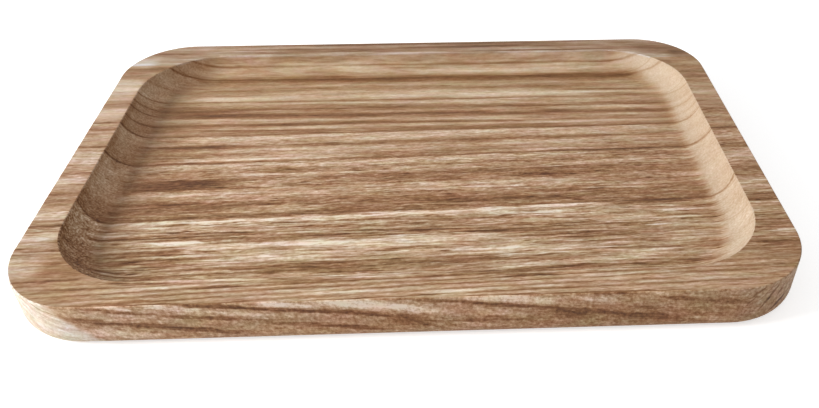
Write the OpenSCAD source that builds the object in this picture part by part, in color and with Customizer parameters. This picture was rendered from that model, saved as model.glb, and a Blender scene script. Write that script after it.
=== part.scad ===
// Rectangular wooden tray with a carved recess, made from a panel of solid staves glued edge to edge.
// X runs along the grain, Y from front to back and Z up. The origin is the middle of the underside.

/* [Panel] */
// Length of the tray, along the grain
tray_l = 300; // [240:5:400]
// Width of the tray, across the staves
tray_w = 200; // [170:5:260]
// Thickness of the glued panel
tray_t = 20; // [17:0.5:26]
// Radius of the four outer corners, seen from above
corner_r = 32; // [24:0.5:40]
// Round-over along the lower edge
bottom_round = 5; // [2:0.5:8]
// Small eased radius on the top edges, outside and round the recess
edge_ease = 0.5; // [0.3:0.1:1.5]

/* [Recess] */
// Width of the flat rim, from the outside of the tray to the edge of the recess
rim_w = 12.5; // [9:0.5:20]
// Depth of the recess below the rim
recess_depth = 10; // [6:0.5:11.5]
// Corner radius of the recess at its edge, seen from above
recess_corner_r = 36.5; // [30:0.5:45]
// Radius of the hollow wall that runs from the floor up to the edge
cove_r = 12.7; // [12:0.1:16]

/* [Staves] */
// Width of the front stave, which carries the front rim and its cove
front_stave_w = 22.5; // [18:0.5:36]
// Width of the back stave, which carries the back rim and its cove
back_stave_w = 22; // [16:0.5:36]

/* [Hidden] */
// Smoothness of the round surfaces
$fn = 96;
// How far a cut runs past the face that it opens
cut_over = 2;

// Light brown of the pale staves
pale_tone = "#cba883";
// Middle brown of the plain staves
middle_tone = "#b98f68";
// Deep brown of the dark staves
deep_tone = "#a47a55";

// Joints of the six staves between the front and back ones, as shares of the width that the six fill.
// They run front to back, once for the left end of the tray and once for its right end.
left_joint_shares = [0, 0.128, 0.234, 0.495, 0.65, 0.856, 1];
right_joint_shares = [0, 0.183, 0.293, 0.549, 0.679, 0.856, 1];

// Height of the middle of the eased edge above the floor
ease_z = recess_depth - edge_ease;
// Width of the wall seen from above, from the flat floor to the rim
cove_w = sqrt(pow(cove_r + edge_ease, 2) - pow(cove_r - ease_z, 2));
// Height above the floor at which the hollow runs into the eased edge
blend_z = cove_r - (cove_r - ease_z) * cove_r / (cove_r + edge_ease);
floor_z = tray_t - recess_depth;
floor_corner_r = recess_corner_r - cove_w;
recess_l = tray_l - 2 * rim_w;
recess_w = tray_w - 2 * rim_w;
floor_staves_w = tray_w - front_stave_w - back_stave_w;

// Half outline of the panel's edge, outwards from the axis of a corner
module panel_edge_profile() {
    difference() {
        square([corner_r, tray_t]);
        translate([corner_r - bottom_round, -cut_over]) {
            difference() {
                square([bottom_round + cut_over, bottom_round + cut_over]);
                translate([0, bottom_round + cut_over]) circle(r = bottom_round);
            }
        }
        translate([corner_r - edge_ease, tray_t - edge_ease]) {
            difference() {
                square([edge_ease + cut_over, edge_ease + cut_over]);
                circle(r = edge_ease);
            }
        }
    }
}

// Half outline of the recess cutter, outwards from the axis of a corner and up from the floor
module recess_edge_profile() {
    difference() {
        square([recess_corner_r, recess_depth + cut_over]);
        translate([floor_corner_r, 0]) {
            difference() {
                translate([0, -cut_over]) square([cove_w + cut_over, blend_z + cut_over]);
                translate([0, cove_r]) circle(r = cove_r);
            }
        }
        translate([recess_corner_r, ease_z]) circle(r = edge_ease);
    }
}

// Solid with rounded corners whose edge follows a 2D outline: four corners, four sides and a core
module rounded_slab(length, width, corner, height) {
    side_x = length / 2 - corner;
    side_y = width / 2 - corner;
    for (mx = [0, 1], my = [0, 1]) {
        mirror([mx, 0, 0]) mirror([0, my, 0]) {
            translate([side_x, side_y, 0]) rotate_extrude(angle = 90) children();
        }
    }
    for (my = [0, 1]) {
        mirror([0, my, 0]) {
            translate([-side_x, side_y, 0]) rotate([90, 0, 90]) linear_extrude(2 * side_x) children();
        }
    }
    for (mx = [0, 1]) {
        mirror([mx, 0, 0]) {
            translate([side_x, side_y, 0]) rotate([90, 0, 0]) linear_extrude(2 * side_y) children();
        }
    }
    translate([-side_x, -side_y, 0]) cube([2 * side_x, 2 * side_y, height]);
}

// The whole panel, shaped outside and carved inside
module carved_panel() {
    difference() {
        rounded_slab(tray_l, tray_w, corner_r, tray_t) panel_edge_profile();
        translate([0, 0, floor_z]) {
            rounded_slab(recess_l, recess_w, recess_corner_r, recess_depth + cut_over) recess_edge_profile();
        }
    }
}

// Place across the tray of a joint at one end: the seven joints, with the outside of the panel at either side
function joint_places(shares) = concat(
    [-tray_w / 2 - cut_over],
    [for (share = shares) -tray_w / 2 + front_stave_w + share * floor_staves_w],
    [tray_w / 2 + cut_over]
);

// Upright slab between joint k and joint k + 1, as long as the panel and higher
module stave_slab(k) {
    end_x = tray_l / 2;
    left = joint_places(left_joint_shares);
    right = joint_places(right_joint_shares);
    translate([0, 0, -cut_over]) {
        linear_extrude(tray_t + 2 * cut_over) {
            polygon([[-end_x, left[k]], [end_x, right[k]], [end_x, right[k + 1]], [-end_x, left[k + 1]]]);
        }
    }
}

// One stave: the part of the carved panel between two joints
module stave(k) {
    intersection() {
        carved_panel();
        stave_slab(k);
    }
}

module front_rim_stave() {
    color(middle_tone) stave(0);
}

module floor_stave_1() {
    color(pale_tone) stave(1);
}

module floor_stave_2() {
    color(middle_tone) stave(2);
}

module floor_stave_3() {
    color(deep_tone) stave(3);
}

module floor_stave_4() {
    color(pale_tone) stave(4);
}

module floor_stave_5() {
    color(deep_tone) stave(5);
}

module floor_stave_6() {
    color(middle_tone) stave(6);
}

module back_rim_stave() {
    color(pale_tone) stave(7);
}

front_rim_stave();
floor_stave_1();
floor_stave_2();
floor_stave_3();
floor_stave_4();
floor_stave_5();
floor_stave_6();
back_rim_stave();
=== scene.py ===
"""Looks of the wooden tray: oiled wood with a drawn figure, a pale floor and soft light from the left."""

import math
from types import SimpleNamespace

import bpy
from mathutils import Matrix, Vector


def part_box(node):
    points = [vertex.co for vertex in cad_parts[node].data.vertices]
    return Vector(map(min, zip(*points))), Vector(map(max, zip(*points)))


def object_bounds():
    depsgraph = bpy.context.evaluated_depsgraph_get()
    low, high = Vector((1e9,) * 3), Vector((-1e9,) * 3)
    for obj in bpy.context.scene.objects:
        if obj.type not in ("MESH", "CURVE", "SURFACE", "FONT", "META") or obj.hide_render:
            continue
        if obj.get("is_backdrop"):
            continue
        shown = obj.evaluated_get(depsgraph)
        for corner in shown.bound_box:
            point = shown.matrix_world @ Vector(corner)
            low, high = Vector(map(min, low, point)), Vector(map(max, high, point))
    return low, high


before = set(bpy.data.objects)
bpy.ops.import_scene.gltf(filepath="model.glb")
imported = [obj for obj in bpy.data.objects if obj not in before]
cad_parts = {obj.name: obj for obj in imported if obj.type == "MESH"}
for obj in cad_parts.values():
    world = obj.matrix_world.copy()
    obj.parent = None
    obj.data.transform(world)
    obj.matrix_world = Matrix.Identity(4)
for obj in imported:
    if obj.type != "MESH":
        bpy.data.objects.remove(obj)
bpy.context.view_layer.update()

# One millimetre in metres. Places and sizes are in millimetres where nothing else is said
MM = 0.001

# The most stops that a colour ramp holds
MOST_STOPS = 32

# The tray's own planes, from the bounds of the imported model. Its recess is half as deep as the tray is
# thick
TRAY_LOW, TRAY_HIGH = (Vector(corner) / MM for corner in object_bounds())
TRAY_LENGTH = TRAY_HIGH.x - TRAY_LOW.x
HALF_LENGTH = TRAY_LENGTH / 2
RIM_Z = TRAY_HIGH.z
RECESS_Z = RIM_Z / 2

FRONT_STAVE = "front_rim_stave"
BACK_STAVE = "back_rim_stave"

# The staves from front to back, each with the strength of its waves, of its short fibres, of its long lines
# and of its broad streaks
STAVES = {
    FRONT_STAVE: (0.8, 0.95, 0.5, 0.2),
    "floor_stave_1": (1.2, 1.1, 1.2, 0.8),
    "floor_stave_2": (1.1, 1.25, 1.4, 0.9),
    "floor_stave_3": (1.1, 1.4, 0.65, 0.6),
    "floor_stave_4": (0.8, 1.05, 0.4, 0.8),
    "floor_stave_5": (0.4, 0.65, 0.38, 1.0),
    "floor_stave_6": (0.4, 0.6, 0.15, 0.8),
    BACK_STAVE: (0.5, 0.35, 0.25, 1.1),
}

# A stave's seed is this much above the one before. Its noises count on from the seed
SEED_STEP = 17.0

# The wood's tones, from the darkest pore line to the palest streak, as colours seen on screen
PALETTE = [
    (0.0, (84, 50, 26)),
    (0.28, (125, 84, 50)),
    (0.45, (150, 111, 76)),
    (0.62, (175, 140, 107)),
    (0.79, (200, 171, 142)),
    (0.96, (225, 203, 178)),
    (1.1, (242, 227, 208)),
]
MIDDLE_TONE = 0.62

# Half the width of the faint line along a joint, and its change of tone
JOINT_HALF_WIDTH = 0.4
JOINT_TONE = -0.1

# Growth lines move towards the back by this much over the tray's length, by place across the tray
RISE = [
    (-100, 13), (-60, 10), (-36, 9), (4, 8.5), (17, 6.5), (26, 4.4), (34, 0), (42, -2), (48, -1), (77, -2),
    (84, 0), (87, 0), (90, -4),
]

# How far back a growth line moves for each millimetre that it climbs, by place across the tray
LEAN = [
    (-100, 1.1), (-75, 0.9), (-56, 0.6), (-38, 0.45), (0, -0.1), (26, -0.1), (42, -0.4), (56, -0.6),
    (77, -0.3), (100, -0.3),
]

# Growth lines near the front bend forwards by this much at both ends of the tray, by place across the tray
BOW = [(-100, 1.4), (-86, 1.2), (-72, 0)]

# Waves of the growth lines, one that all the staves share and two of each stave's own: size along, across
# and up, detail and reach
SHARED_WAVE = ((110, 14, 14), 1.0, 0.5)
SHARED_SEED = 1.0
OWN_WAVES = [((30, 2.6, 5), 2.0, 0.5), ((9, 1.4, 3), 2.0, 0.25)]

# Tone of the growth bands, by place across the recess floor at mid length
BANDS = [
    (-118, 0.55), (-113, 0.55), (-111, 0.66), (-110.3, 0.6), (-109.6, 0.3), (-108.9, 0.56), (-108.2, 0.68),
    (-107.6, 0.6), (-106.9, 0.32), (-106.2, 0.58), (-105.5, 0.7), (-104.8, 0.6), (-104.1, 0.3),
    (-103.4, 0.56), (-102.8, 0.68), (-102.2, 0.6), (-101.5, 0.34), (-100.8, 0.56), (-100.2, 0.7),
    (-99.6, 0.58), (-98.9, 0.28), (-98.2, 0.54), (-97.4, 0.72), (-96.6, 0.6), (-96, 0.38), (-95.2, 0.58),
    (-94, 0.7), (-92.8, 0.46), (-91.6, 0.58), (-90, 0.7), (-88, 0.52), (-86, 0.45), (-83, 0.6),
    (-80.5, 0.38), (-79, 0.62), (-77.6, 0.38), (-76.6, 0.45), (-75.6, 0.72), (-73, 0.65), (-71, 0.58),
    (-69.4, 0.52), (-68, 0.42), (-66.6, 0.48), (-65.5, 0.66), (-64, 0.76), (-62, 0.74), (-60, 0.78),
    (-57.5, 0.8), (-55.5, 0.85), (-53.8, 0.75), (-52.6, 0.58), (-51, 0.5), (-48.5, 0.5), (-47, 0.52),
    (-45.8, 0.6), (-44.4, 0.68), (-43.2, 0.75), (-42, 0.72), (-40.5, 0.78), (-38.4, 0.92), (-37.4, 0.75),
    (-36.6, 0.38), (-35.5, 0.42), (-33, 0.46), (-30, 0.42), (-28, 0.44), (-26, 0.5), (-24, 0.63),
    (-22, 0.72), (-19, 0.76), (-17, 0.6), (-14, 0.52), (-10.5, 0.44), (-9, 0.5), (-7.6, 0.6), (-6.2, 0.72),
    (-4.6, 0.62), (-3, 0.58), (-1.2, 0.64), (0.4, 0.78), (1.8, 0.84), (2.8, 0.62), (3.6, 0.34), (4.4, 0.36),
    (5.6, 0.64), (7, 0.62), (8.2, 0.58), (9.8, 0.62), (12, 0.68), (14.4, 0.64), (15.8, 0.5), (16.8, 0.48),
    (18, 0.62), (19.4, 0.74), (21.5, 0.82), (24.4, 0.8), (25.2, 0.58), (25.9, 0.34), (27, 0.46),
    (28.6, 0.52), (29.8, 0.64), (31, 0.78), (32.2, 0.6), (33.4, 0.32), (34.4, 0.38), (35.6, 0.6),
    (37.2, 0.78), (38.4, 0.66), (40, 0.4), (41.4, 0.23), (42.4, 0.25), (43.8, 0.48), (45.4, 0.6),
    (46.6, 0.5), (47.8, 0.3), (48.8, 0.4), (50, 0.52), (51.6, 0.66), (53.4, 0.76), (54.6, 0.64),
    (55.6, 0.46), (57, 0.74), (58.8, 0.84), (60, 0.84), (61.6, 0.74), (63.4, 0.7), (65, 0.66), (67.4, 0.53),
    (69.6, 0.62), (71.6, 0.66), (73.4, 0.58), (75, 0.42), (76.4, 0.3), (77.8, 0.25), (79, 0.42),
    (80.4, 0.66), (83, 0.74), (85.2, 0.72), (86, 0.42), (86.8, 0.72), (88.4, 0.66), (90.6, 0.58),
    (92.4, 0.44), (94, 0.52), (97, 0.5), (101, 0.46), (106, 0.4),
]

# The same for the rim at the left end, where the bands are paler as a painted sheen
LEFT_RIM_BANDS_AND_SHEEN = [
    (-100, 0.55), (-93, 0.55), (-90.6, 0.36), (-88, 0.6), (-85, 0.74), (-80, 0.74), (-76, 0.58), (-73, 0.48),
    (-69, 0.66), (-64.6, 0.8), (-60, 0.7), (-55, 0.48), (-51, 0.66), (-48.3, 0.8), (-43, 0.62), (-36, 0.58),
    (-33, 0.44), (-29, 0.6), (-23.4, 0.78), (-18.5, 0.7), (-16.5, 0.52), (-13, 0.66), (-4, 0.8), (3, 0.72),
    (6, 0.7), (7.2, 0.42), (8.5, 0.66), (14, 0.68), (17, 0.56), (19.3, 0.48), (22, 0.62), (24.6, 0.68),
    (25.6, 0.3), (26.6, 0.66), (32.3, 0.8), (38, 0.68), (41.8, 0.5), (45, 0.68), (52.4, 0.78), (60.3, 0.82),
    (66.4, 0.74), (69, 0.54), (71, 0.44), (74, 0.5), (76.5, 0.3), (78, 0.62), (81, 0.74), (85, 0.72),
    (90, 0.6),
]

# The same for the rim at the right end
RIGHT_RIM = [
    (-100, 0.5), (-92, 0.5), (-89.3, 0.36), (-86, 0.55), (-80, 0.6), (-75, 0.4), (-70, 0.56), (-65.6, 0.72),
    (-60, 0.6), (-55.6, 0.38), (-51, 0.58), (-44.5, 0.74), (-38, 0.6), (-31.9, 0.4), (-28, 0.58),
    (-23.8, 0.74), (-16, 0.6), (-11, 0.38), (-7, 0.58), (-3, 0.76), (2, 0.64), (4, 0.48), (4.8, 0.22),
    (5.8, 0.55), (12, 0.62), (20, 0.54), (27, 0.6), (29.3, 0.38), (31.5, 0.58), (40, 0.64), (47, 0.74),
    (55, 0.62), (60, 0.54), (62.6, 0.38), (65, 0.55), (67.8, 0.3), (70, 0.54), (78, 0.56), (84, 0.42),
    (86.6, 0.32), (89, 0.4), (95, 0.4),
]

# Where those bands fade in: depth below the rim's plane, distance from the middle of the tray's length, and
# distance across it at which they fade out again
RIM_DEPTHS = (1.0, 0.3)
RIM_ENDS = (132, 140)
RIM_SIDES = (84, 91)

# Rings that show as thin lines on the end grain: place, and how much darker they are at the left end and
# at the right end
RINGS = [
    (-36.7, 0.5, 0.32), (3.9, 0.5, 0.32), (25.9, 0.46, 0.26), (33.6, 0.34, 0.02), (42, 0.38, 0.1),
    (47.8, 0.28, 0.02), (55.6, 0.36, 0.1), (67, 0.16, 0.02), (77.8, 0.38, 0.22), (86, 0.24, 0.18),
]
RING_HALF_WIDTH = 0.7

# Plain tone of the coves at the left end and at the right end, by place across the recess floor. It is
# partly the end grain's own tone, partly painted shade that makes the left end darker and painted light that
# makes the right end paler
LEFT_COVE_TONES_AND_SHADE = [
    (-85, 0.42), (-72, 0.4), (-58, 0.42), (-48, 0.62), (-38, 0.68), (-35.5, 0.44), (-26, 0.56), (-14, 0.72),
    (-5, 0.7), (3, 0.62), (5, 0.5), (14, 0.6), (25, 0.68), (27, 0.52), (34, 0.6), (43, 0.57), (50, 0.65),
    (58, 0.71), (68, 0.66), (77, 0.75), (79, 0.61), (86, 0.71), (90, 0.79),
]
RIGHT_COVE_TONES_AND_LIGHT = [(-85, 0.79), (-45, 0.74), (50, 0.74), (90, 0.8)]

# Strength of the speckle there, what is lost of it outside, and the blotches' strength as a share of it
LEFT_SPECKLE = [(-85, 0.46), (-50, 0.38), (-25, 0.2), (90, 0.12)]
RIGHT_SPECKLE = [(-85, 0.08), (90, 0.05)]
SPECKLE_CELL = (0.9, 0.9, 0.9)
OUTSIDE_LOSS = 0.8
BLOTCH_SHARE = 0.5
BLOTCH_CELL = (5, 4, 4)

# Contrast of the bands on the coves at the left end and at the right end
COVE_CONTRAST = (0.34, 0.13)

# Painted shade along the upper edge of the left cove: the change of tone, and the slope over which it sets
# in
LEFT_EDGE_SHADE = -0.1
COVE_EDGE_SLOPES = (0.88, 0.96)

# The outer walls at the left end and at the right end: plain tone, and how strongly the bands show. The pale
# tone at the left end is painted light, and the dark tone at the right end is painted shade
LEFT_WALL_PAINTED_LIGHT = (1.02, 0.8)
RIGHT_WALL_PAINTED_SHADE = (0.46, 1.2)

# The left end's wall starts this far from the middle at the top, its edge slants inwards on the way down,
# and it sets in over a stretch along the tray
LEFT_WALL_START = 127
LEFT_WALL_SLANT = 0.94
LEFT_WALL_STRETCH = (-2.0, 3.0)

# Slopes, as parts of the normal, over which a face turns into each end-grain face. The foot's painted shade
# tint turns round near the upper edge of the cove
RIGHT_WALL_SLOPES = (0.8, 0.95)
LEFT_COVE_SLOPES = (0.1, 0.42)
RIGHT_COVE_SLOPES = (0.04, 0.5)
FOOT_SLOPES = (0.0, 0.3)
UPPER_COVE_SLOPES = (0.4, 0.95)
UPPER_COVE_TURN = -1.6
FRONT_SLOPES = (0.2, 0.5)

# Range over which a slope or a share counts as being there at all
FIRST_TRACE = (0.0, 0.1)

# How far the coves' feet are torn into fibres, at the left end and at the right end
FEATHER = (0.14, 0.03)
FEATHER_CELL = (6, 1.6, 6)

# Stretch of the length over which the left half's looks turn into the right half's
HALVES = (-40, 40)

# Tints of the coves, of the left end outside and on the rim, of the back rim and of the front wall. The
# right end's coves turn paler and cooler, partly as painted light, and the left end's coves turn warmer at
# their foot as painted shade. The left end outside turns paler as painted light, and its rim as a painted
# sheen
LEFT_COVE_SHADE_TINT = (1.0, 0.93, 0.88)
RIGHT_COVE_LIGHT_TINT = (0.98, 1.08, 1.18)
LEFT_WALL_LIGHT_TINT = (1.0, 1.06, 1.16)
LEFT_RIM_SHEEN_TINT = (1.0, 1.03, 1.11)
BACK_RIM_TINT = (1.03, 1.16, 1.42)
FRONT_WALL_TINT = (1.02, 0.94, 0.88)

# Tone that the bands fade to at the left end and at the right end, a darker painted shade next to the coves,
# how far they fade, and where
LEFT_END_SHADE = (0.44, 0.5)
RIGHT_END_SHADE = (0.52, 0.35)
LEFT_END_STRETCH = (-126, -100)
RIGHT_END_STRETCH = (110, 124)

# Tone of the front wall along the tray, under its own figure
WALL_TONES = [(-118, 0.66), (-60, 0.64), (0, 0.61), (60, 0.54), (118, 0.5), (128, 0.56), (146, 0.5)]

# Streaks on the front wall: x and height of the start and of the end, half width and change of tone
WALL_STREAKS = [
    (-122, 20.6, -84, 14.2, 1.3, -0.34), (-96, 15.6, -44, 10.8, 1.3, -0.34),
    (-92, 21.4, -50, 16.8, 1.5, -0.42), (-70, 18.8, -28, 14.2, 1.5, -0.42),
    (-48, 16.4, -4, 12.2, 1.5, -0.42), (-24, 13.4, 10, 10.2, 1.3, -0.34),
    (-132, 15.6, -98, 10.8, 1.9, -0.36), (-114, 12.4, -76, 8.2, 1.7, -0.38),
    (-96, 9.6, -52, 4.8, 1.7, -0.38), (-60, 11, -18, 6.6, 1.5, -0.24), (-36, 8, -2, 4.6, 1.5, -0.3),
    (-14, 20.4, 2, 19.4, 0.9, -0.26), (-6, 20.4, 34, 15.6, 1.3, -0.32), (14, 17.4, 62, 12.4, 1.3, -0.42),
    (44, 13.4, 84, 9, 1.9, -0.32), (66, 10.2, 104, 6.2, 2.4, -0.26), (-12, 10.4, 14, 6.4, 2.6, -0.3),
    (4, 8.7, 50, 8, 1.0, -0.26), (46, 11.6, 68, 8.4, 2.4, -0.22), (60, 20.6, 84, 18.8, 0.9, -0.32),
    (86, 17.8, 106, 15.2, 1.5, -0.26), (98, 16, 128, 13.2, 1.9, -0.24), (76, 13.4, 92, 11.6, 1.2, -0.18),
    (-114, 20, -94, 17.6, 1.4, 0.32), (-95, 20.2, -83, 18, 1.2, 0.34), (-88, 19.6, -70, 15.8, 1.7, 0.26),
    (-76, 16.4, -46, 13.2, 1.2, 0.22), (-58, 20.2, -32, 17, 1.5, 0.42), (-44, 21, 6, 15.2, 3.2, 0.4),
    (-14, 17.4, 20, 11.6, 2.4, 0.3), (10, 21, 62, 16, 2.6, 0.38), (16, 13.8, 46, 10, 2.0, 0.2),
    (52, 19.4, 80, 14.8, 2.2, 0.2), (-126, 9, -84, 4, 2.8, 0.26), (82, 20, 97, 18, 1.3, 0.26),
    (12, 7.4, 46, 4.2, 1.4, 0.14), (94, 7.2, 124, 4.4, 1.6, 0.18), (92, 13.6, 102, 11.4, 1.1, 0.14),
    (129.6, 20.6, 121.5, 14, 0.9, -0.36), (135.8, 21, 126.4, 6, 1.0, -0.45), (142, 11.5, 131, 4, 1.1, -0.45),
    (126, 17, 120, 9, 0.5, -0.22), (133, 21, 126, 12, 0.5, -0.22), (139.5, 21, 133, 9, 0.6, -0.26),
]

# The front wall's figure is torn and wavy up to a stretch near the right corner, past which little is left
WALL_CORNER_STRETCH = (112, 124)
LOOSE_PAST_CORNER = 0.15
WALL_WAVE_CELL = (14, 4, 2.4)
WALL_WAVE = 0.7
WALL_TEAR = 2.4

# Flecks on the front wall, where the fibres run out at a slant: size and strength
WALL_FLECKS = [((3.2, 1, 1.8), 0.24), ((1.3, 1, 1.4), 0.24)]
FLECK_SLANT = 0.12
FLECK_ROUGHNESS = 0.65

# The front wall is slightly paler towards the top: heights and change of tone
WALL_LIFT_HEIGHTS = (9.0, 17.0)
WALL_LIFT = 0.1

# The front wall's tint fades out over this stretch near the right corner
WALL_TINT_STRETCH = (112, 128)

# Streaks on top of the rim: x and y of the start, x and y of the end, half width and change of tone
RIM_STREAKS = [
    (-114, -88.4, -82, -88.7, 1.2, -0.42), (-84, -87.9, -42, -88.2, 0.9, 0.3),
    (-62, -89.5, -6, -88.5, 0.9, -0.34), (-80, -91.7, -58, -91.2, 1.2, -0.28),
    (-30, -88, -6, -87.8, 0.6, 0.24), (-102, -91.4, -78, -90.8, 0.9, 0.14),
    (-122, -99.5, -58, -99.7, 1.0, -0.4), (-124, -98, -104, -96.6, 1.0, 0.16),
    (-60, -94.4, 4, -96.4, 1.6, 0.18), (-56, -92.8, -20, -92.5, 1.0, -0.16),
    (26, -90, 62, -88.4, 1.1, -0.42), (-2, -88.9, 24, -88.8, 0.8, -0.14), (-2, -97, 30, -97.4, 1.8, 0.24),
    (84, -93.5, 126, -92.4, 1.4, 0.16), (108, -84.8, 146, -85.2, 0.7, 0.26),
    (114, -88, 142, -88.5, 2.2, -0.08), (97, -90, 111, -90, 1.4, -0.14), (-2, -99.5, 122, -99.5, 0.9, -0.34),
    (60, -91, 82, -90.5, 1.2, 0.12), (-146, -86.9, -114, -85.2, 0.9, -0.36),
    (-140, -91.4, -98, -89.9, 0.9, -0.24), (-14, 94, 64, 94.2, 1.9, -0.32), (58, 93.4, 86, 91.6, 1.4, -0.18),
    (-52, 92.5, -6, 92, 1.4, -0.14), (-144, 90.6, -110, 90.4, 1.4, -0.16),
    (-94, 89.8, -60, 89.6, 1.6, -0.16), (0, 88.6, 112, 88.8, 1.4, -0.34),
    (-137, 95.2, -60, 95.4, 1.6, 0.14), (64, 95, 120, 93.6, 1.8, 0.08),
    (-64, 89, -16, 89, 1.4, 0.16), (110, 92, 148, 80, 7, -0.18), (-150, 79, -126, 87, 5, 0.06),
    (-124, 98, 124, 98, 1.6, -0.28), (-110, 92.6, -66, 92.4, 1.2, 0.1), (84, 90.8, 104, 90.4, 1.2, 0.06),
    (-260, -94, 260, -94, 14, 0.11),
]
RIM_WAVE_CELL = (9, 1.3, 4)
RIM_WAVE = 0.7
RIM_TEAR = 6.0

# Redness of the wood, from golden below zero to reddish above it, by place across the recess floor
HUES = [
    (-118, 0.1), (-90, -0.1), (-70, -0.2), (-40, 0), (-20, 0.25), (2, 0.12), (20, 0), (42, 0.1), (52, -0.2),
    (78, -0.35), (88, -0.2), (92, 0), (106, 0),
]

# Patches of warmer and cooler wood, how far they turn red, green and blue, and what the coves lose of them
RED_PATCH_CELL = (14, 3, 6)
BLUE_PATCH_CELL = (12, 3, 6)
HUE_TURNS = (0.07, -0.04, 0.12)
COVE_HUE_LOSS = 0.8

# Streaks of another tone: x and place of the start, x and place of the end, half width and change of tone
STREAKS = [
    (60, 71.5, 130, 70.5, 2.8, -0.08), (65, 63.5, 128, 63, 1.6, -0.2), (80, 59, 130, 57.5, 2.5, -0.25),
    (35, 51, 125, 50.5, 1.8, 0.15), (40, 48.3, 125, 48.3, 1.4, 0.2), (-135, 46.5, -85, 46.2, 1.6, -0.18),
    (30, 43, 72, 41.4, 2.6, 0.2), (-135, 43, -70, 42.5, 2.6, -0.16), (62, 41, 135, 41, 1.8, 0.1),
    (28, 35, 74, 34, 1.8, 0.2), (64, 34.2, 130, 33.6, 1.2, 0.12), (-135, 31, -28, 28, 0.7, -0.25),
    (22, 21.5, 78, 21.5, 2.6, -0.2), (78, 21, 130, 20, 2.6, -0.1), (-135, 18, -80, 17.6, 2.2, -0.22),
    (10, 13, 98, 12, 3, 0.09), (-85, 10.2, -28, 9.8, 1.2, 0.18), (-125, 8.6, -88, 8.4, 0.6, -0.15),
    (-130, 6, -35, 5.6, 1.5, 0.22), (8, 7, 62, 6.4, 1.8, -0.12), (28, 4.3, 150, 4, 1.0, -0.2),
    (-90, 3.4, -28, 3.6, 0.9, 0.2), (66, 1.2, 140, 0, 3.4, -0.24), (95, -2, 135, -2.4, 1.6, -0.1),
    (-84, -5.6, -56, -6, 1.6, 0.14), (-140, -12.8, -74, -12.4, 5.4, -0.34),
    (-76, -11, -42, -10.4, 2.4, 0.16), (-80, -13, -42, -18, 1.8, 0.18), (0, -10.5, 62, -10, 2.2, -0.06),
    (34, -13, 80, -15.8, 2.4, -0.14), (-135, -19.2, -58, -19.6, 1.0, 0.14),
    (-130, -22, -84, -22.4, 1.6, -0.12),
    (-135, -25.5, -80, -26, 2.4, -0.2), (62, -19.4, 135, -21, 3.6, -0.3), (60, -26, 122, -27, 1.0, 0.28),
    (-90, -32, -22, -31, 3.8, 0.26), (2, -29.6, 85, -33, 3.2, -0.12), (70, -38, 140, -37.5, 2.8, -0.45),
    (-90, -40.4, -62, -41.2, 0.8, -0.3), (-62, -41, -30, -42.4, 0.8, -0.34),
    (-32, -40.8, -8, -42.4, 0.8, -0.18), (-2, -41.6, 78, -42, 1.6, 0.2), (18, -43.8, 64, -44.8, 0.7, -0.25),
    (-124, -48.4, -97, -46, 0.9, -0.3), (-100, -46.2, -76, -46, 0.8, -0.26),
    (-80, -46, -60, -47.6, 0.8, -0.3), (-64, -47.6, -34, -46.4, 0.7, -0.22),
    (-52, -48.4, -30, -48.6, 1.0, 0.18), (62, -49, 135, -49.6, 2.4, 0.28),
    (-122, -52, -74, -52.2, 1.8, 0.34), (2, -52.8, 84, -54, 1.6, -0.32),
    (-135, -57, -80, -57.6, 2.6, -0.46), (-135, -61, -78, -62, 2.8, -0.2),
    (-116, -64.6, -78, -65, 1.2, -0.36), (-88, -54.4, -8, -56.2, 2.4, 0.15),
    (28, -56.5, 135, -57.6, 4.4, -0.32), (58, -61.4, 114, -63, 1.6, -0.36),
    (12, -64, 92, -66.6, 2.0, 0.2), (10, -66.8, 92, -68.4, 1.5, 0.34), (34, -68.2, 70, -69.6, 0.8, -0.2),
    (56, -71, 135, -72, 3.6, 0.2), (-64, -75.2, -16, -75.4, 0.7, 0.16),
    (-122, -69, -84, -70, 1.2, 0.12), (-135, 64.5, -60, 64.5, 4.5, -0.14), (0, 66, 130, 65, 4, -0.1),
    (-64, 55, 4, 55, 4, 0.1), (-135, 45, -64, 45, 4, -0.14), (44, 45, 135, 44.5, 4, 0.16),
    (-135, 36, -70, 36, 3, -0.1), (-135, 16.6, -66, 16.8, 3.6, -0.14), (-120, 7, -10, 6, 3, 0.09),
    (-135, -22.4, -70, -22.2, 3.2, -0.12), (8, -46.4, 130, -47, 3.6, 0.15), (-64, -54.4, 4, -55, 3.6, 0.1),
    (-135, -62, -72, -62, 3.4, -0.12), (4, -66.6, 130, -68, 3.6, 0.13), (-135, -70.6, -84, -71, 3.2, -0.14),
]

# Streaks fray along the grain, and reach their full tone at this share of the way in from their edge
TEAR_CELL = (40, 0.9, 2)
STREAK_TEAR = 7.0
STREAK_FULL = 0.7

# A stave also takes streaks whose middles lie this far past it, and the front stave twice as far in front
STREAK_MARGIN = 9.0

# Roughness of the noises that look like fibres
FIBROUS = 0.6

# Layers of the grain in three groups: size along, across and up, detail and strength
SHORT_FIBRES = [((6, 0.9, 3), 3.0, 0.17), ((2.4, 0.8, 2), 2.0, 0.13)]
LONG_LINES = [((14, 0.9, 4), 2.0, 0.17), ((36, 1.1, 5), 2.0, 0.17), ((100, 1.4, 8), 1.0, 0.12)]
BROAD_STREAKS = [((24, 2.8, 8), 2.0, 0.12), ((80, 4.5, 12), 1.0, 0.14)]

# Dark pores: size, range of the noise over which they set in, and change of tone
PORE_CELL = (11, 0.8, 2)
PORE_RANGE = (0.45, 0.9)
PORE_TONE = -0.24

# Thin dark lines: size of their drift, half width as a share of it and change of tone, then the size of
# the stretches in which they show and the range of the noise over which they fade in
LINE_CELL = (60, 2.8, 9)
LINE_HALF_WIDTH = 0.17
LINE_TONE = -0.3
LINE_STRETCH_CELL = (26, 3, 9)
LINE_STRETCH_RANGE = (-0.2, 0.5)

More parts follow.
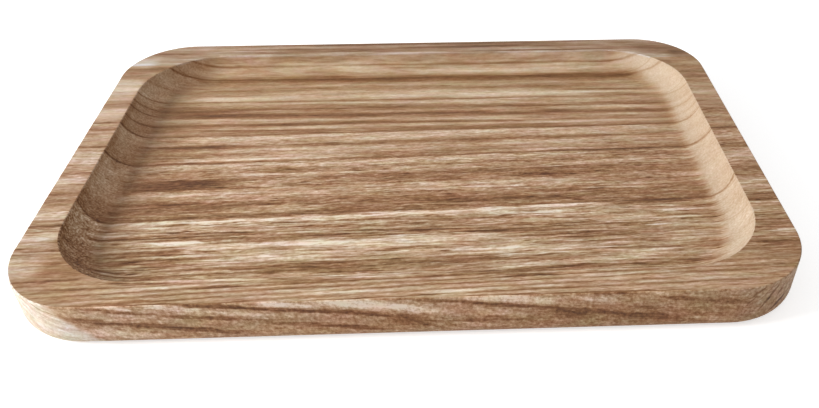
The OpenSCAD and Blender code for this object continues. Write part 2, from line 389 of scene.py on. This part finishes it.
# How much of the grain's contrast is lost on the rim at the left end and at both ends of the recess, on the
# rim at the right end, and on the front wall
END_CALM = 0.25
RIGHT_RIM_CALM = 0.05
WALL_CALM = 0.6

# Relief and shine of the oiled wood. Its high fibres shine a little more than its pores
BUMP_STRENGTH = 0.35
BUMP_DEPTH = 0.1
ROUGHNESS = 0.6
FIBRE_SHINE = -0.3
SPECULAR = 0.3

# The floor, in metres. It lies a little below the tray, so that the two don't share one plane
FLOOR_HALF = 3.0
FLOOR_Z = -0.0002
FLOOR_GREY = 0.8
FLOOR_GLOW = 0.6

# Soft light, in metres: an even world and one lamp, low on the left and a little to the front
WORLD_FILL = 0.53
LAMP_PLACE = (-1.43, -0.2, 0.69)
LAMP_TARGET = (0.0, 0.0, 0.01)
LAMP_SIZE = 0.6
LAMP_POWER = 27

# The camera stands in front, a little right of the tray's middle, and looks down at a point close to it
CAMERA_PLACE = (11.78, -304.21, 218.95)
CAMERA_YAW = -2.56
CAMERA_PITCH = 37.63
CAMERA_ROLL = 0.19
CAMERA_LENS = 35.28
CAMERA_SENSOR = 36.0
CAMERA_SHIFT_X = -0.0739


class Wood:
    """Adds nodes to one material. Sockets and plain numbers can both be given as inputs."""

    def __init__(self, owner):
        owner.use_nodes = True
        self.tree = owner.node_tree
        self.tree.nodes.clear()

    def node(self, kind, inputs=None, **settings):
        made = self.tree.nodes.new(kind)
        for name, value in settings.items():
            setattr(made, name, value)
        for name, value in (inputs or {}).items():
            socket = made.inputs[name]
            if isinstance(value, bpy.types.NodeSocket):
                self.tree.links.new(value, socket)
            else:
                socket.default_value = value
        return made

    def math(self, operation, *values):
        return self.node("ShaderNodeMath", dict(enumerate(values)), operation=operation).outputs[0]

    def vector(self, x, y, z):
        return self.node("ShaderNodeCombineXYZ", {"X": x, "Y": y, "Z": z}).outputs[0]

    def product(self, first, second):
        """Two vectors or colours multiplied with each other."""
        return self.node("ShaderNodeVectorMath", {0: first, 1: second}, operation="MULTIPLY").outputs[0]

    def mix(self, first, second, share):
        """The first value where share is 0, and the second where it is 1."""
        return self.math("MULTIPLY_ADD", self.math("SUBTRACT", second, first), share, first)

    def tint(self, colour, values, share):
        """The colour multiplied by three values where share is 1."""
        turned = self.vector(*(self.math("MULTIPLY_ADD", share, value - 1, 1.0) for value in values))
        return self.product(colour, turned)

    def noise(self, point, cell, seed, detail=2.0, roughness=0.5):
        """Noise around 0, seldom past 1 either way, whose grains measure cell along each axis."""
        placed = self.node(
            "ShaderNodeVectorMath",
            {0: point, 1: tuple(1 / size for size in cell), 2: (seed, 2 * seed, 3 * seed)},
            operation="MULTIPLY_ADD",
        )
        made = self.node(
            "ShaderNodeTexNoise",
            {"Vector": placed.outputs[0], "Scale": 1.0, "Detail": detail, "Roughness": roughness},
        )
        return self.math("MULTIPLY_ADD", made.outputs["Fac"], 4.0, -2.0)

    def step(self, value, low, high, bottom=0.0, top=1.0):
        """A smooth step from bottom, where the value is low, to top, where it is high."""
        made = self.node(
            "ShaderNodeMapRange",
            {"Value": value, "From Min": low, "From Max": high, "To Min": bottom, "To Max": top},
            interpolation_type="SMOOTHSTEP",
        )
        return made.outputs["Result"]

    def seen_rays(self):
        """1 for the rays of the camera and of reflections and 0 for those that only carry light."""
        rays = self.node("ShaderNodeLightPath").outputs
        shown = self.math("MAXIMUM", rays["Is Camera Ray"], rays["Is Glossy Ray"])
        return self.math("MAXIMUM", shown, rays["Is Transmission Ray"])

    def ramp(self, value, stops):
        """A colour that runs through the stops, each a place from 0 to 1 and a colour."""
        made = self.node("ShaderNodeValToRGB", {"Fac": value})
        elements = made.color_ramp.elements
        while len(elements) < len(stops):
            elements.new(0.5)
        for element, (share, colour) in zip(elements, stops):
            element.position = share
            element.color = (*colour, 1.0)
        return made.outputs["Color"]

    def graph(self, value, points, low=0, high=1):
        """A graph of straight lines through points, whose levels lie between low and high."""
        if len(points) > MOST_STOPS:
            half = len(points) // 2
            front = self.graph(value, points[: half + 1], low, high)
            back = self.graph(value, points[half:], low, high)
            return self.math("SUBTRACT", self.math("ADD", front, back), points[half][1])
        first, last = points[0][0], points[-1][0]
        share = self.node("ShaderNodeMapRange", {"Value": value, "From Min": first, "From Max": last})
        stops = []
        for place, level in points:
            grey = (level - low) / (high - low)
            stops.append(((place - first) / (last - first), (grey, grey, grey)))
        grey = self.ramp(share.outputs["Result"], stops)
        return self.math("MULTIPLY_ADD", grey, high - low, low)


def linear(colour):
    """A screen colour from 0 to 255 as the linear values that shaders take."""
    return tuple(
        share / 12.92 if share <= 0.04045 else ((share + 0.055) / 1.055) ** 2.4
        for share in (level / 255 for level in colour)
    )


def surface_axes(wood):
    """A point of the surface in millimetres, its three axes, and those of the normal there."""
    texture = wood.node("ShaderNodeTexCoord").outputs
    point = wood.product(texture["Object"], (1 / MM,) * 3)
    axes = wood.node("ShaderNodeSeparateXYZ", {0: point}).outputs
    normal = wood.node("ShaderNodeSeparateXYZ", {0: texture["Normal"]}).outputs
    return point, axes, normal


def growth_place(wood, point, axes, seed, waves):
    """Place across the recess floor at mid length where the growth line through a point passes."""
    rise = wood.graph(axes["Y"], RISE, -20, 20)
    lean = wood.graph(axes["Y"], LEAN, -2, 2)
    bow = wood.graph(axes["Y"], BOW, 0, 2)
    climb = wood.math("SUBTRACT", axes["Z"], RECESS_Z)
    run = wood.math("DIVIDE", axes["X"], TRAY_LENGTH)
    end_share = wood.math("POWER", wood.math("DIVIDE", axes["X"], HALF_LENGTH), 2.0)
    place = wood.math("SUBTRACT", axes["Y"], wood.math("MULTIPLY", rise, run))
    place = wood.math("SUBTRACT", place, wood.math("MULTIPLY", lean, climb))
    place = wood.math("MULTIPLY_ADD", bow, end_share, place)
    seeded = [(SHARED_SEED, SHARED_WAVE)]
    seeded += [(seed + number, wave) for number, wave in enumerate(OWN_WAVES)]
    for wave_seed, (cell, detail, reach) in seeded:
        wave = wood.noise(point, cell, wave_seed, detail=detail, roughness=FIBROUS)
        place = wood.math("MULTIPLY_ADD", wave, reach * waves, place)
    return place


def ragged(wood, point, axes, across, seed, reach):
    """A point of the figure whose place along the grain is torn into fibres, so that streaks fray."""
    torn = wood.noise(point, TEAR_CELL, seed, detail=2.0, roughness=FIBROUS)
    return wood.vector(wood.math("MULTIPLY_ADD", torn, reach, axes["X"]), across, 0.0)


def streak_tone(wood, tone, along, streaks, low, high):
    """Adds the streaks whose middles lie between two places."""
    for start_x, start, end_x, end, half_width, change in streaks:
        middle = (start + end) / 2
        if not low < middle < high:
            continue
        reach = math.hypot(end_x - start_x, end - start) / 2
        placed = wood.node(
            "ShaderNodeMapping",
            {"Vector": along, "Location": ((start_x + end_x) / 2, middle, 0),
             "Rotation": (0, 0, math.atan2(end - start, end_x - start_x)),
             "Scale": (reach, half_width, 1)},
            vector_type="TEXTURE",
        )
        ball = wood.node("ShaderNodeTexGradient", {"Vector": placed.outputs[0]}, gradient_type="SPHERICAL")
        tone = wood.math("ADD", tone, wood.step(ball.outputs["Fac"], 0.0, STREAK_FULL, top=change))
    return tone


def rim_shares(wood, axes):
    """How much a point lies on top of the rim, all round, at the left end and at the right end."""
    on_rim = wood.step(axes["Z"], *(RIM_Z - depth for depth in RIM_DEPTHS))
    between_sides = wood.step(wood.math("ABSOLUTE", axes["Y"]), *RIM_SIDES, bottom=1.0, top=0.0)
    on_ends = wood.math("MULTIPLY", on_rim, between_sides)
    left, right = (
        wood.math("MULTIPLY", wood.step(wood.math("MULTIPLY", axes["X"], side), *RIM_ENDS), on_ends)
        for side in (-1, 1)
    )
    return on_rim, left, right


def end_grain_shares(wood, point, axes, outwards, facing, right_half, seed):
    """How much a point shows cut fibres: on the coves, on the end walls outside and at a cove's foot."""
    inwards = wood.math("MULTIPLY", outwards, -1.0)
    torn = wood.noise(point, FEATHER_CELL, seed + 11, detail=2.0)
    feathered = wood.math("MULTIPLY_ADD", torn, wood.mix(*FEATHER, right_half), inwards)
    past_edge = wood.math("SUBTRACT", wood.math("MULTIPLY", axes["X"], -1.0), LEFT_WALL_START)
    below_rim = wood.math("SUBTRACT", RIM_Z, axes["Z"])
    past_edge = wood.math("MULTIPLY_ADD", below_rim, LEFT_WALL_SLANT, past_edge)
    outside = wood.math("MAXIMUM", wood.step(outwards, *FIRST_TRACE), facing)
    left_wall = wood.math("MULTIPLY", wood.step(past_edge, *LEFT_WALL_STRETCH), outside)
    # The end walls outside also carry painted light at the left end and painted shade at the right end
    wall = wood.mix(left_wall, wood.step(outwards, *RIGHT_WALL_SLOPES), right_half)
    left_cove = wood.step(feathered, *LEFT_COVE_SLOPES)
    cove = wood.mix(left_cove, wood.step(feathered, *RIGHT_COVE_SLOPES), right_half)
    # The foot's share carries the painted shade tint of the left end's coves
    upper_cove = wood.step(inwards, *UPPER_COVE_SLOPES, top=UPPER_COVE_TURN)
    foot = wood.math("ADD", wood.step(inwards, *FOOT_SLOPES), upper_cove)
    return cove, wall, foot


def surface_shares(wood, name, point, axes, normal, seed):
    """Where on the tray a point lies: shares of its faces and ends, and how far it faces outwards."""
    right_half = wood.step(axes["X"], *HALVES)
    outwards = wood.math("MULTIPLY", normal["X"], wood.math("SIGN", axes["X"]))
    facing = 0.0
    if name == FRONT_STAVE:
        facing = wood.step(wood.math("MULTIPLY", normal["Y"], -1.0), *FRONT_SLOPES)
    on_rim, left_rim, right_rim = rim_shares(wood, axes)
    cove, wall, foot = end_grain_shares(wood, point, axes, outwards, facing, right_half, seed)
    return SimpleNamespace(
        right_half=right_half,
        left_end=wood.step(axes["X"], *LEFT_END_STRETCH, bottom=1.0, top=0.0),
        right_end=wood.step(axes["X"], *RIGHT_END_STRETCH),
        outwards=outwards,
        on_rim=on_rim,
        left_rim=left_rim,
        right_rim=right_rim,
        cove=cove,
        wall=wall,
        foot=foot,
        front=wood.mix(facing, 0.0, wall),
    )


def drawn_tone(wood, place, point, axes, shares, seed, low, high):
    """Tone of the growth bands with their streaks, faded at both ends into a darker painted shade."""
    along = ragged(wood, point, axes, place, seed + 6, STREAK_TEAR)
    tone = streak_tone(wood, wood.graph(place, BANDS), along, STREAKS, low, high)
    # Painted shade: the bands fade to a darker tone next to the coves at both ends
    for share, (end_tone, fade) in ((shares.left_end, LEFT_END_SHADE), (shares.right_end, RIGHT_END_SHADE)):
        tone = wood.mix(tone, end_tone, wood.math("MULTIPLY", share, fade))
    return tone


def rim_tone(wood, tone, place, point, axes, shares, seed, low, high):
    """Gives the top of the rim its own bands at both ends, paler at the left end as a painted sheen, and its
    own streaks.
    """
    # The left end's paler rim bands are a painted sheen
    for share, bands in ((shares.left_rim, LEFT_RIM_BANDS_AND_SHEEN), (shares.right_rim, RIGHT_RIM)):
        tone = wood.mix(tone, wood.graph(place, bands), share)
    drift = wood.noise(point, RIM_WAVE_CELL, seed + 3, detail=3.0, roughness=FIBROUS)
    across = wood.math("MULTIPLY_ADD", drift, RIM_WAVE, axes["Y"])
    along = ragged(wood, point, axes, across, seed + 4, RIM_TEAR)
    change = streak_tone(wood, 0.0, along, RIM_STREAKS, low, high)
    return wood.math("MULTIPLY_ADD", change, shares.on_rim, tone)


def wall_tone(wood, tone, point, axes, share, seed):
    """Puts the drawn figure of the long front wall in its place."""
    loose = wood.step(axes["X"], *WALL_CORNER_STRETCH, bottom=1.0, top=LOOSE_PAST_CORNER)
    drift = wood.noise(point, WALL_WAVE_CELL, seed + 7, detail=3.0, roughness=FIBROUS)
    height = wood.math("MULTIPLY_ADD", drift, wood.math("MULTIPLY", loose, WALL_WAVE), axes["Z"])
    along = ragged(wood, point, axes, height, seed + 8, wood.math("MULTIPLY", loose, WALL_TEAR))
    figure = streak_tone(wood, wood.graph(axes["X"], WALL_TONES), along, WALL_STREAKS, 0, RIM_Z + 2)
    slanted = wood.math("MULTIPLY_ADD", axes["X"], FLECK_SLANT, axes["Z"])
    flecks = wood.vector(axes["X"], 0.0, slanted)
    for number, (cell, strength) in enumerate(WALL_FLECKS):
        mottle = wood.noise(flecks, cell, seed + 9 + number, detail=3.0, roughness=FLECK_ROUGHNESS)
        figure = wood.math("MULTIPLY_ADD", mottle, strength, figure)
    figure = wood.math("ADD", figure, wood.step(axes["Z"], *WALL_LIFT_HEIGHTS, top=WALL_LIFT))
    return wood.mix(tone, figure, share)


def end_grain_base(wood, place, shares, outside):
    """Plain tone of the end grain, and the contrast of the bands on it. The plain tone holds painted shade
    on the left end's coves, along their upper edge and on the right end's outer wall. It holds painted light
    on the right end's coves and on the left end's outer wall.
    """
    right_half = shares.right_half
    # The left coves are darker partly as painted shade, and the right coves paler partly as painted light
    cove = wood.mix(wood.graph(place, LEFT_COVE_TONES_AND_SHADE), wood.graph(place, RIGHT_COVE_TONES_AND_LIGHT), right_half)
    # Painted shade along the upper edge of the left end's coves
    edge = wood.step(wood.math("MULTIPLY", shares.outwards, -1.0), *COVE_EDGE_SLOPES, top=LEFT_EDGE_SHADE)
    cove = wood.math("ADD", cove, wood.mix(edge, 0.0, right_half))
    # Painted light on the left end's outer wall, painted shade on the right end's
    wall, wall_contrast = (wood.mix(left, right, right_half) for left, right in zip(LEFT_WALL_PAINTED_LIGHT, RIGHT_WALL_PAINTED_SHADE))
    contrast = wood.mix(wood.mix(*COVE_CONTRAST, right_half), wall_contrast, outside)
    return wood.mix(cove, wall, outside), contrast


def ring_tone(wood, place, right_half):
    """Change of tone along the thin rings of the end grain."""
    sides = []
    for side in (0, 1):
        points = []
        for middle, *darker in RINGS:
            points += [(middle - RING_HALF_WIDTH, 0), (middle, -darker[side]), (middle + RING_HALF_WIDTH, 0)]
        sides.append(wood.graph(place, points, -1, 0))
    return wood.mix(*sides, right_half)


def speckle_tone(wood, tone, place, point, right_half, outside, seed):
    """Adds the fine speckle and the blotches of cut fibres."""
    speckle = wood.noise(point, SPECKLE_CELL, seed + 12, detail=2.0)
    blotches = wood.noise(point, BLOTCH_CELL, seed + 13, detail=3.0)
    strength = wood.mix(wood.graph(place, LEFT_SPECKLE), wood.graph(place, RIGHT_SPECKLE), right_half)
    strength = wood.math("MULTIPLY", strength, wood.math("MULTIPLY_ADD", outside, -OUTSIDE_LOSS, 1.0))
    tone = wood.math("MULTIPLY_ADD", speckle, strength, tone)
    return wood.math("MULTIPLY_ADD", blotches, wood.math("MULTIPLY", strength, BLOTCH_SHARE), tone)


def end_grain_tone(wood, tone, place, point, shares, seed):
    """Fades the bands on the end grain, draws its thin rings and adds its speckle."""
    on_wall = wood.step(shares.wall, *FIRST_TRACE)
    outside = wood.math("MAXIMUM", wood.step(shares.outwards, *FIRST_TRACE), on_wall)
    plain, contrast = end_grain_base(wood, place, shares, outside)
    cut = wood.math("MULTIPLY_ADD", wood.math("SUBTRACT", tone, MIDDLE_TONE), contrast, plain)
    cut = wood.math("ADD", cut, ring_tone(wood, place, shares.right_half))
    cut = speckle_tone(wood, cut, place, point, shares.right_half, outside, seed)
    return wood.mix(tone, cut, wood.math("MAXIMUM", shares.cove, shares.wall))


def grain_layers(wood, grain_point, layers, seed):
    """Layers of noise drawn out along the grain, added up."""
    height = 0.0
    for number, (cell, detail, strength) in enumerate(layers):
        fibres = wood.noise(grain_point, cell, seed + number, detail=detail, roughness=FIBROUS)
        height = wood.math("MULTIPLY_ADD", fibres, strength, height)
    return height


def thin_lines(wood, grain_point, seed):
    """Thin dark lines that run far along the grain and fade in and out."""
    drift = wood.noise(grain_point, LINE_CELL, seed + 21, detail=1.0)
    line = wood.step(wood.math("ABSOLUTE", drift), 0.0, LINE_HALF_WIDTH, bottom=LINE_TONE, top=0.0)
    stretches = wood.noise(grain_point, LINE_STRETCH_CELL, seed + 22, detail=1.0)
    return wood.math("MULTIPLY", line, wood.step(stretches, *LINE_STRETCH_RANGE))


def grain_height(wood, grain_point, strengths, seed):
    """Fibres, pores, lines and streaks along the grain as one height."""
    short, long, broad = strengths
    pores = wood.noise(grain_point, PORE_CELL, seed + 5, detail=1.0)
    fibres = grain_layers(wood, grain_point, SHORT_FIBRES, seed)
    fibres = wood.math("ADD", fibres, wood.step(pores, *PORE_RANGE, top=PORE_TONE))
    lines = grain_layers(wood, grain_point, LONG_LINES, seed + 2)
    lines = wood.math("ADD", lines, thin_lines(wood, grain_point, seed))
    height = wood.math("MULTIPLY", grain_layers(wood, grain_point, BROAD_STREAKS, seed + 23), broad)
    height = wood.math("MULTIPLY_ADD", lines, long, height)
    return wood.math("MULTIPLY_ADD", fibres, short, height)


def grain_contrast(wood, name, shares):
    """How much of the grain's contrast a place keeps."""
    left_recess = wood.mix(shares.left_end, 0.0, shares.left_rim)
    right_recess = wood.mix(shares.right_end, 0.0, shares.on_rim)
    losses = [
        (shares.left_rim, END_CALM),
        (shares.right_rim, RIGHT_RIM_CALM),
        (left_recess, END_CALM),
        (right_recess, END_CALM),
    ]
    if name == FRONT_STAVE:
        losses.append((shares.front, WALL_CALM))
    kept = 1.0
    for share, loss in losses:
        kept = wood.math("MULTIPLY_ADD", share, -loss, kept)
    return kept


def joint_tone(wood, tone, axes, name):
    """Darkens the wood slightly where this stave meets its neighbours."""
    names = list(STAVES)
    for front, back in zip(names[:-1], names[1:]):
        if name not in (front, back):
            continue
        left_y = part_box(back)[0].y / MM
        right_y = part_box(front)[1].y / MM
        slope = (right_y - left_y) / TRAY_LENGTH
        joint_y = wood.math("MULTIPLY_ADD", axes["X"], slope, (left_y + right_y) / 2)
        gap = wood.math("ABSOLUTE", wood.math("SUBTRACT", axes["Y"], joint_y))
        tone = wood.math("ADD", tone, wood.step(gap, 0.0, JOINT_HALF_WIDTH, bottom=JOINT_TONE, top=0.0))
    return tone


def hue_colour(wood, colour, place, point, cove_share, seed):
    """Warms and cools the colour in small patches along the grain, less on the coves."""
    shown = wood.math("MULTIPLY_ADD", cove_share, -COVE_HUE_LOSS, 1.0)
    red_patches = wood.noise(point, RED_PATCH_CELL, seed + 15, detail=3.0, roughness=FIBROUS)
    blue_patches = wood.noise(point, BLUE_PATCH_CELL, seed + 16, detail=3.0, roughness=FIBROUS)
    red = wood.math("MULTIPLY", wood.math("ADD", red_patches, wood.graph(place, HUES, -1, 1)), shown)
    blue = wood.math("MULTIPLY", blue_patches, shown)
    turned = wood.vector(
        *(wood.math("MULTIPLY_ADD", hue, turn, 1.0) for hue, turn in zip((red, red, blue), HUE_TURNS))
    )
    return wood.product(colour, turned)


def stave_colour(wood, name, tone, place, point, axes, shares, seed):
    """The palette's colour for a tone, with its patches and the tints of where it lies."""
    palest = PALETTE[-1][0]
    stops = [(share / palest, linear(seen)) for share, seen in PALETTE]
    colour = wood.ramp(wood.math("DIVIDE", tone, palest), stops)
    colour = hue_colour(wood, colour, place, point, shares.cove, seed)
    left_half = wood.math("SUBTRACT", 1.0, shares.right_half)
    # Painted light: the right end's coves turn paler and cooler
    colour = wood.tint(colour, RIGHT_COVE_LIGHT_TINT, wood.math("MULTIPLY", shares.cove, shares.right_half))
    # Painted shade: the left end's coves turn warmer at their foot
    colour = wood.tint(colour, LEFT_COVE_SHADE_TINT, wood.math("MULTIPLY", shares.foot, left_half))
    # Painted sheen: the left end's rim turns paler and cooler
    colour = wood.tint(colour, LEFT_RIM_SHEEN_TINT, shares.left_rim)
    # Painted light: the left end's outer wall turns paler and cooler
    colour = wood.tint(colour, LEFT_WALL_LIGHT_TINT, wood.math("MULTIPLY", shares.wall, left_half))
    if name == BACK_STAVE:
        colour = wood.tint(colour, BACK_RIM_TINT, shares.on_rim)
    if name == FRONT_STAVE:
        warm_share = wood.mix(shares.front, 0.0, wood.step(axes["X"], *WALL_TINT_STRETCH))
        colour = wood.tint(colour, FRONT_WALL_TINT, warm_share)
    return colour


def add_shader(wood, colour, height):
    """Ends the material with its shader, whose relief and shine follow the grain's height."""
    bump = wood.node(
        "ShaderNodeBump", {"Height": height, "Strength": BUMP_STRENGTH, "Distance": BUMP_DEPTH * MM}
    )
    roughness = wood.math("MULTIPLY_ADD", height, FIBRE_SHINE, ROUGHNESS)
    shader = wood.node(
        "ShaderNodeBsdfPrincipled",
        {"Base Color": colour, "Roughness": roughness, "Specular IOR Level": SPECULAR,
         "Normal": bump.outputs[0]},
    )
    output = wood.node("ShaderNodeOutputMaterial")
    wood.tree.links.new(shader.outputs[0], output.inputs["Surface"])


def stave_material(name, number, low, high):
    """The wood of one stave, with the streaks whose middles lie between two places."""
    waves, *strengths = STAVES[name]
    seed = SEED_STEP * (number + 1)
    material = bpy.data.materials.new(name)
    wood = Wood(material)
    point, axes, normal = surface_axes(wood)
    place = growth_place(wood, point, axes, seed, waves)
    shares = surface_shares(wood, name, point, axes, normal, seed)
    tone = drawn_tone(wood, place, point, axes, shares, seed, low, high)
    tone = rim_tone(wood, tone, place, point, axes, shares, seed, low, high)
    if name == FRONT_STAVE:
        tone = wall_tone(wood, tone, point, axes, shares.front, seed)
    height = grain_height(wood, wood.vector(axes["X"], place, axes["Z"]), strengths, seed)
    tone = wood.math("MULTIPLY_ADD", height, grain_contrast(wood, name, shares), tone)
    tone = end_grain_tone(wood, tone, place, point, shares, seed)
    tone = joint_tone(wood, tone, axes, name)
    add_shader(wood, stave_colour(wood, name, tone, place, point, axes, shares, seed), height)
    return material


def dress_staves():
    for number, name in enumerate(STAVES):
        low, high = (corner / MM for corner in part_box(name))
        front, back = low.y - STREAK_MARGIN, high.y + STREAK_MARGIN
        if name == FRONT_STAVE:
            front -= STREAK_MARGIN
        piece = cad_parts[name]
        piece.material_slots[0].material = stave_material(name, number, front, back)


def make_floor():
    mesh = bpy.data.meshes.new("floor")
    sides = [(-1, -1), (1, -1), (1, 1), (-1, 1)]
    corners = [(x * FLOOR_HALF, y * FLOOR_HALF, FLOOR_Z) for x, y in sides]
    mesh.from_pydata(corners, [], [(0, 1, 2, 3)])
    floor = bpy.data.objects.new("floor", mesh)
    bpy.context.scene.collection.objects.link(floor)
    material = bpy.data.materials.new("floor")
    paper = Wood(material)
    diffuse = paper.node("ShaderNodeBsdfDiffuse", {"Color": (FLOOR_GREY, FLOOR_GREY, FLOOR_GREY, 1.0)})
    strength = paper.math("MULTIPLY", paper.seen_rays(), FLOOR_GLOW)
    glow = paper.node("ShaderNodeEmission", {"Color": (1, 1, 1, 1), "Strength": strength})
    both = paper.node("ShaderNodeAddShader", {0: diffuse.outputs[0], 1: glow.outputs[0]})
    output = paper.node("ShaderNodeOutputMaterial")
    paper.tree.links.new(both.outputs[0], output.inputs["Surface"])
    mesh.materials.append(material)
    floor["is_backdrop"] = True


def make_world():
    world = bpy.data.worlds.new("studio")
    bpy.context.scene.world = world
    sky = Wood(world)
    strength = sky.mix(WORLD_FILL, 1.0, sky.seen_rays())
    background = sky.node("ShaderNodeBackground", {"Color": (1, 1, 1, 1), "Strength": strength})
    output = sky.node("ShaderNodeOutputWorld")
    sky.tree.links.new(background.outputs[0], output.inputs["Surface"])


def make_lamp():
    lamp = bpy.data.lights.new("window", "AREA")
    lamp.shape = "SQUARE"
    lamp.size = LAMP_SIZE
    lamp.energy = LAMP_POWER
    window = bpy.data.objects.new("window", lamp)
    bpy.context.scene.collection.objects.link(window)
    window.location = LAMP_PLACE
    aim = Vector(LAMP_TARGET) - window.location
    window.rotation_euler = aim.to_track_quat("-Z", "Y").to_euler()


def make_camera():
    data = bpy.data.cameras.new("camera")
    data.sensor_width = CAMERA_SENSOR
    data.lens = CAMERA_LENS
    data.shift_x = CAMERA_SHIFT_X
    camera = bpy.data.objects.new("camera", data)
    bpy.context.scene.collection.objects.link(camera)
    turn = (
        Matrix.Rotation(math.radians(CAMERA_YAW), 4, "Z")
        @ Matrix.Rotation(math.radians(90 - CAMERA_PITCH), 4, "X")
        @ Matrix.Rotation(math.radians(CAMERA_ROLL), 4, "Z")
    )
    camera.matrix_world = Matrix.Translation(Vector(CAMERA_PLACE) * MM) @ turn
    bpy.context.scene.camera = camera


bpy.context.scene.view_settings.view_transform = "Standard"
dress_staves()
make_floor()
make_world()
make_lamp()
make_camera()
